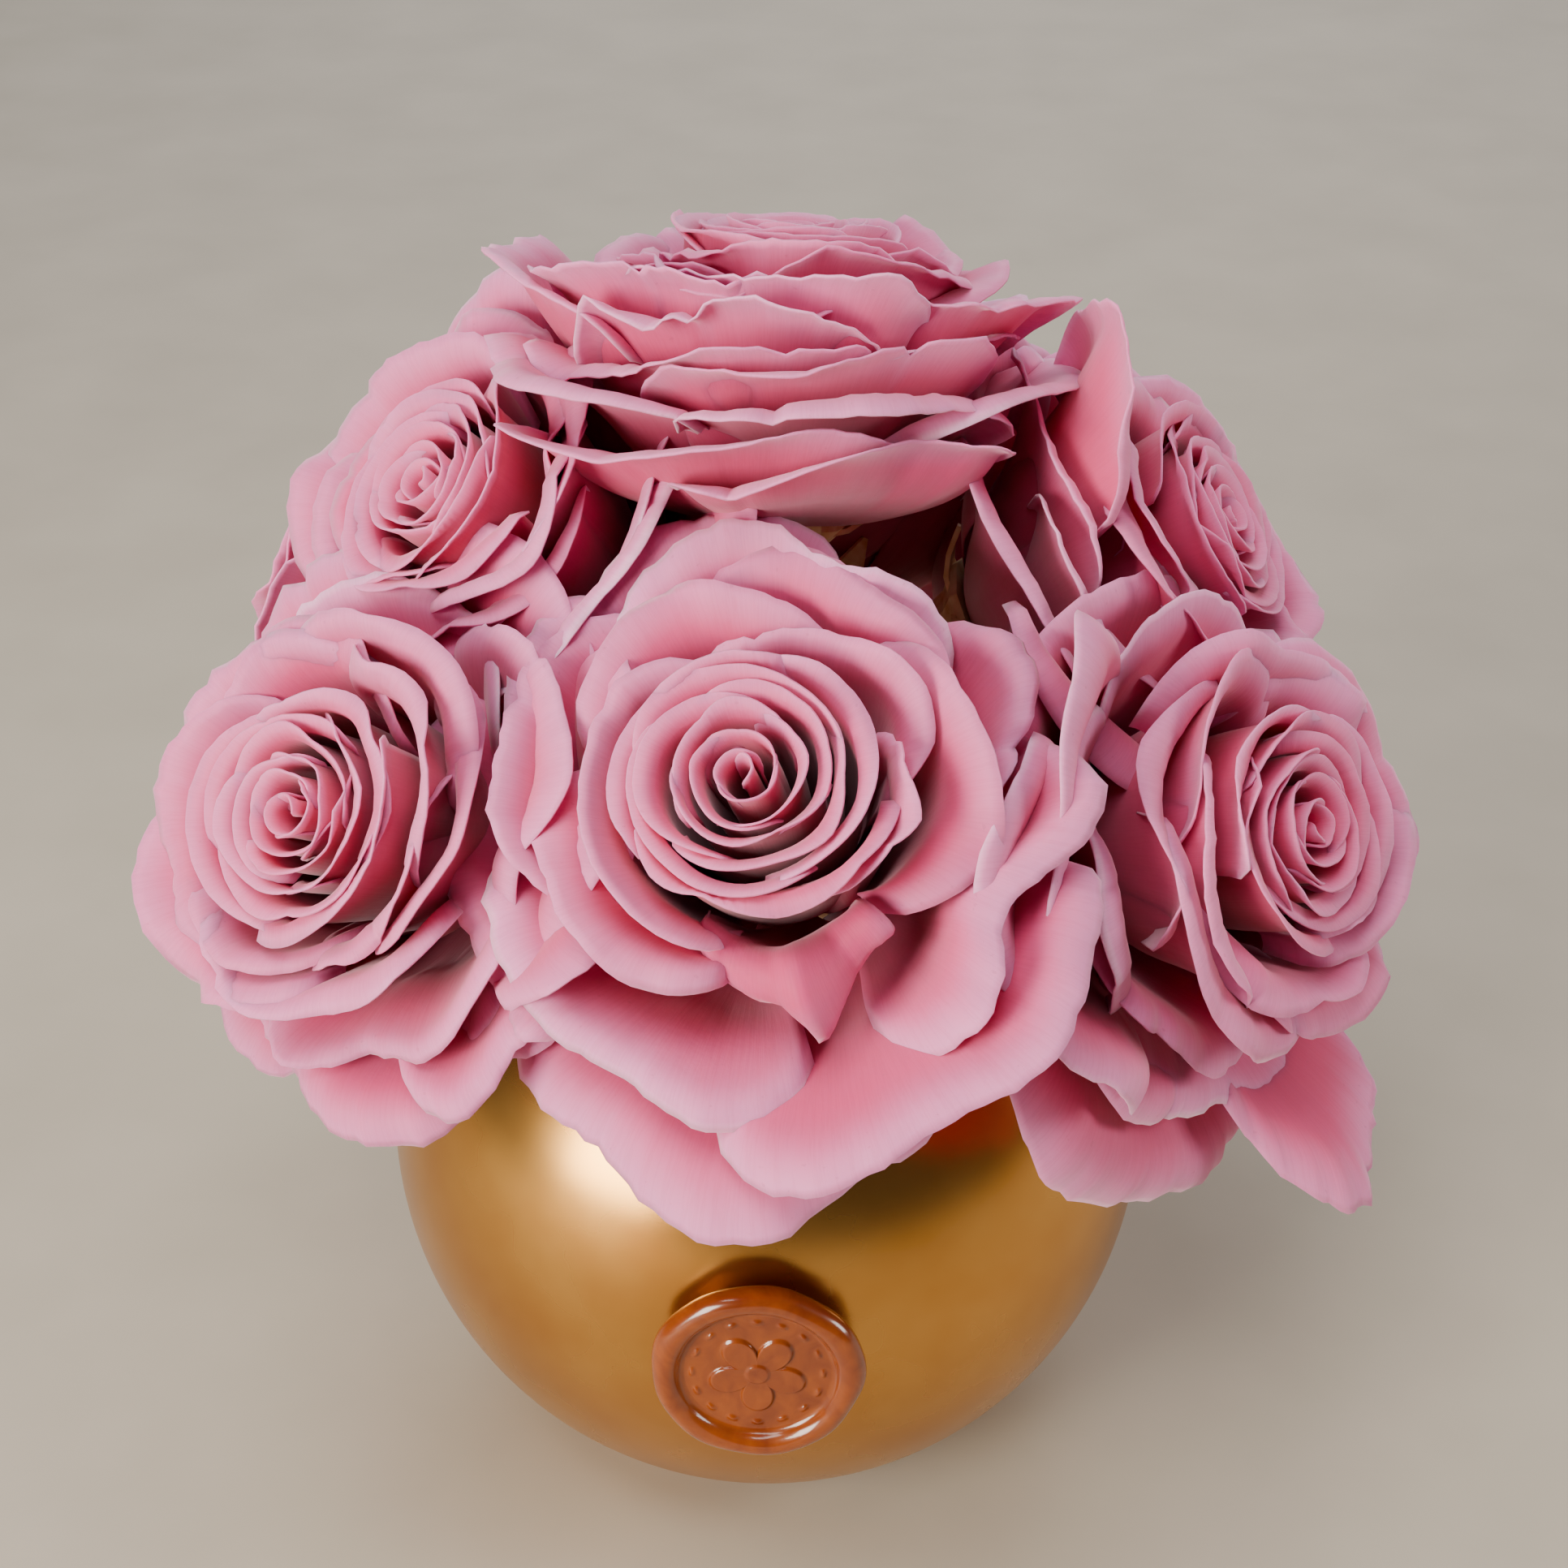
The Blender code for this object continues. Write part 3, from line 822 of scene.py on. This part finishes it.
print("bowl", np.round(np.array(bowl.dimensions) / MM, 1), "mm")

# %% [markdown]
# ## Sealing wax
# Sealing wax is resin and wax coloured through. It lets a little light in and is glossy where it
# set against the air, so the material scatters light under a clear skin. Its colour swirls over
# 6 mm, as it was poured, and its skin dimples over 2 mm.


# %% Wax
def amber_wax():
    """Coloured resin wax: swirled amber that scatters light, with a glossy skin."""
    material, tree = new_material("amber_sealing_wax")
    shader = tree.nodes["Principled BSDF"]
    place = add(tree, "ShaderNodeTexCoord").outputs["Object"]
    swirl = add(
        tree, "ShaderNodeTexNoise", Vector=place, Scale=160.0, Detail=4.0, Distortion=1.5
    ).outputs[0]
    amber = ramp(tree, swirl, [(0.25, "#74300a"), (0.8, "#96480c")])
    tree.links.new(amber, shader.inputs["Base Color"])
    for socket, value in {
        "Roughness": 0.22, "Subsurface Weight": 0.25, "Subsurface Radius": (1.0, 0.4, 0.1),
        "Subsurface Scale": 1.5 * MM, "Coat Weight": 0.5, "Coat Roughness": 0.08,
    }.items():
        shader.inputs[socket].default_value = value
    dimple = add(tree, "ShaderNodeTexNoise", Vector=place, Scale=500.0, Detail=2.0).outputs[0]
    bump = add(tree, "ShaderNodeBump", Strength=0.15, Distance=0.15 * MM, Height=dimple)
    tree.links.new(bump.outputs[0], shader.inputs["Normal"])
    return material


WAX = amber_wax()
print("wax made with", len(WAX.node_tree.nodes), "nodes")

# %% [markdown]
# ## Where the seal sits
# A disc is thinnest along its own axis, so the model's seal tells which way it faces: the last
# direction of its spread. Its back is where its lowest point lies along that axis.

# %% Seal's frame
seal_points = node_points("seal")
_, _, seal_ways = np.linalg.svd(seal_points - seal_points.mean(axis=0))
seal_side = np.array((*seal_points.mean(axis=0)[:2], 0.0))
seal_axis = seal_ways[2] * np.sign(seal_ways[2] @ seal_side)
seal_middle = (seal_points.min(axis=0) + seal_points.max(axis=0)) / 2
seal_back = seal_middle + seal_axis * ((seal_points @ seal_axis).min() - seal_middle @ seal_axis)
seal_up = np.array((0.0, 0.0, 1.0)) - seal_axis[2] * seal_axis
seal_up = seal_up / np.linalg.norm(seal_up)
seal_turn = np.stack([np.cross(seal_up, seal_axis), seal_up, seal_axis], axis=1)
print("seal faces", np.round(seal_axis, 3), "with its back at", np.round(seal_back / MM, 1), "mm")

# %% [markdown]
# ## The wax seal
# A seal is a puddle of hot wax pressed with a stamp: its rim swells out unevenly where the wax was
# pushed aside, and the stamped field lies lower. The field here bears a plain blossom in low
# relief with a ring of beads. The relief is real shape, pressed into a finely turned disc.


# %% Seal
SEAL_RADIUS = 16.5 * MM
FIELD_RADIUS = 11.8 * MM
FIELD_HEIGHT = 2.6 * MM
RIM_HEIGHT = 4.6 * MM
RIM_HALF = (SEAL_RADIUS - FIELD_RADIUS) / 2
BLOSSOM_RADIUS = 7.6 * MM
BEAD_RING = 9.9 * MM
BEADS = 16


def press_seal(points):
    """Wax swells unevenly at the rim, and the stamp leaves a five-petalled blossom in the field.

    The outline's radius is scaled by one plus three small sines of the angle. In the field the
    height gains a soft step where the radius is inside the blossom's outline, a power of the
    cosine of two and a half times the angle, a button in its middle, and a ring of beads.
    """
    radius = np.hypot(points[:, 0], points[:, 1])
    angle = np.arctan2(points[:, 1], points[:, 0])
    swell = 0.012 * np.sin(3 * angle + 1) + 0.010 * np.sin(5 * angle) + 0.006 * np.sin(9 * angle + 2)
    outer = smooth_step(radius, FIELD_RADIUS, SEAL_RADIUS)
    out = points.copy()
    out[:, :2] *= (1 + (swell - 0.02) * outer)[:, None]
    out[:, 2] += 0.25 * MM * np.sin(4 * angle + 0.5) * outer * (points[:, 2] > MM)
    face = (points[:, 2] > MM) & (radius < FIELD_RADIUS)
    blossom = BLOSSOM_RADIUS * (0.42 + 0.58 * np.abs(np.cos(2.5 * angle + math.pi / 4)) ** 0.7)
    petal = 1 - smooth_step(radius, blossom - 0.5 * MM, blossom + 0.2 * MM)
    middle = 1 - smooth_step(radius, 1.5 * MM, 2.0 * MM)
    beads = np.exp(-((radius - BEAD_RING) / (0.35 * MM)) ** 2) * np.maximum(np.cos(BEADS * angle), 0)
    relief = 0.55 * MM * petal * (0.75 + 0.25 * radius / blossom)
    relief = relief + 0.35 * MM * middle + 0.45 * MM * beads
    out[:, 2] += relief * face
    return out @ seal_turn.T + seal_back


rim_middle = (FIELD_RADIUS + RIM_HALF, RIM_HEIGHT - RIM_HALF)
field = [(FIELD_RADIUS * share, FIELD_HEIGHT) for share in np.linspace(0, 0.95, 48)]
profile = field + arc_points(RIM_HALF, -72, 120, 18, rim_middle)
profile += [(SEAL_RADIUS - 1.2 * MM, 0.4 * MM), (SEAL_RADIUS - 2.0 * MM, 0.0), (0.0, 0.0)]
seal = turned_piece("wax_seal", profile, 240, WAX, press_seal)
dress(seal, "seal")
print("seal", len(seal.data.polygons), "faces")

# %% [markdown]
# ## What hardly shows
# Floral foam is a brittle green phenolic foam, pads are white foam tape, and stems and sepals are
# plant fibre gone pale as they dried. All are matt, and hardly show between the petals, so they
# keep the model's own shapes, and one function gives each its two colours and its grain.


# %% Plain finishes
def plain_material(name, dark, light, roughness, grain, depth):
    """A matt material: noise of a grain size in millimetres mixes two colours and lifts the surface."""
    material, tree = new_material(name)
    shader = tree.nodes["Principled BSDF"]
    place = add(tree, "ShaderNodeTexCoord").outputs["Object"]
    scale = 1.0 / (grain * MM)
    noise = add(tree, "ShaderNodeTexNoise", Vector=place, Scale=scale, Detail=4.0).outputs[0]
    tree.links.new(ramp(tree, noise, [(0.3, dark), (0.7, light)]), shader.inputs["Base Color"])
    shader.inputs["Roughness"].default_value = roughness
    bump = add(tree, "ShaderNodeBump", Strength=0.6, Distance=depth * MM, Height=noise)
    tree.links.new(bump.outputs[0], shader.inputs["Normal"])
    return material


def paint(node, material):
    """The finish of a solid that shows as the model has it."""
    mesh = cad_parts[node].data
    mesh.materials.clear()
    mesh.materials.append(material)


paint("foam", plain_material("floral_foam", "#3d4a2c", "#6d7a4d", 0.95, 1.2, 0.5))
paint("seal_pad", plain_material("adhesive_foam_pad", "#cfcac0", "#e9e6de", 0.7, 0.6, 0.1))
STEM = plain_material("dried_stem", "#6f7344", "#9a9a63", 0.7, 2.0, 0.2)
SEPAL = plain_material("dried_sepal", "#d9a36e", "#f0cfa4", 0.7, 3.0, 0.2)
for name in ROSES:
    paint(f"{name}_rose_stem", STEM)
    paint(f"{name}_rose_calyx", SEPAL)
print("painted the foam, the pad, and", len(ROSES), "stems and hips")

# %% [markdown]
# ## The floor
# The piece stands on a plain pale table top. A plane large enough to fill the view does, since the
# table is not part of the piece, and it is marked as stage so that it stays out of it.

# %% Floor
FLOOR_SIDE = 6.0
bpy.ops.mesh.primitive_plane_add(size=FLOOR_SIDE)
floor = bpy.context.object
floor.name = "floor"
floor.data.materials.append(plain_material("pale_floor", "#aaa293", "#b1a99a", 0.85, 40.0, 0.05))
floor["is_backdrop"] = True
print("floor", FLOOR_SIDE, "m wide")

# %% [markdown]
# ## Sizes
# The petals reach a little past the model's plain cups. Both boxes are gathered in one table.

# %% Sizes
size = {"cad": cad_box, "visual": [list(map(float, corner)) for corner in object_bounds()]}
print("visual box in mm:", [[round(value / MM, 1) for value in corner] for corner in size["visual"]])
